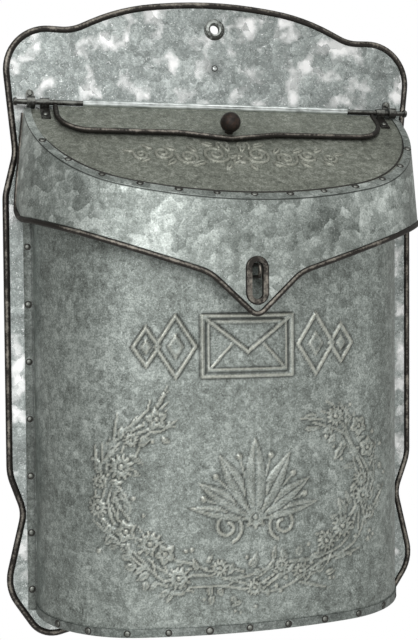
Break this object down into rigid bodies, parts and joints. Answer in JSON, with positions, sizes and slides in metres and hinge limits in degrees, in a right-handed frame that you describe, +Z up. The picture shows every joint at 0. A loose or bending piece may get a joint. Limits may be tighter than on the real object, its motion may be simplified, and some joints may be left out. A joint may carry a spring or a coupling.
{
  "type": "wall mounted mailbox",
  "caption": "Wall mounted galvanised steel mailbox: shaped back plate, D-shaped letter box, hinged hood lid with padlock hasp and a small mail flap with a ball knob.",
  "frame": {"origin": "middle of the hanging hole where the eyelet meets the wall plane", "axes": "+X to the right as seen from the front, +Y into the wall, +Z up; the box faces -Y"},
  "size_m": [0.271, 0.1023, 0.3993],
  "materials": {
    "galvanised": "aged galvanised sheet with zinc spangle, dull",
    "galvanised_dark": "darker weathered galvanised sheet, finely rubbed",
    "aged_edge": "dark brown aged wired edge with worn highlights",
    "bright_zinc": "bright zinc plated",
    "strap_steel": "dark aged steel",
    "rivet_steel": "dull grey rivet",
    "rusty_iron": "dark rusted iron"
  },
  "bodies": {
    "box": {"back_plate": "galvanised", "back_plate_edge_wire": "aged_edge", "hanging_eyelet": "bright_zinc", "body_wrap": "galvanised", "mouth_hem": "galvanised", "bottom_pan": "galvanised", "bottom_rivets": "rivet_steel", "wrap_flange_rivets": "rivet_steel", "hinge_strap_left": "strap_steel", "hinge_strap_right": "strap_steel", "strap_rivets": "rivet_steel", "hinge_rod": "bright_zinc", "rod_end_cap_left": "strap_steel", "rod_end_cap_right": "strap_steel", "hasp_staple": "aged_edge", "staple_backing": "galvanised"},
    "lid": {"lid_fascia": "galvanised", "lid_top_panel": "galvanised_dark", "lid_edge_wire": "aged_edge", "lid_seam_rivets": "rivet_steel", "lid_hinge_tab_left": "strap_steel", "lid_hinge_tab_right": "strap_steel", "lid_tab_rivets": "rivet_steel", "hasp_slot_rim": "aged_edge"},
    "flap": {"mail_flap": "galvanised_dark", "mail_flap_edge_wire": "aged_edge", "flap_hinge_tube": "bright_zinc", "flap_knob": "rusty_iron", "knob_screw": "rivet_steel"}
  },
  "joints": [
    {"name": "lid_hinge", "type": "hinge", "parent": "box", "child": "lid", "pos_m": [0, -0.012, -0.051], "axis": [-1, 0, 0], "range_deg": [0, 70]},
    {"name": "flap_hinge", "type": "hinge", "parent": "lid", "child": "flap", "pos_m": [0, -0.012, -0.051], "axis": [-1, 0, 0], "range_deg": [0, 40]}
  ]
}
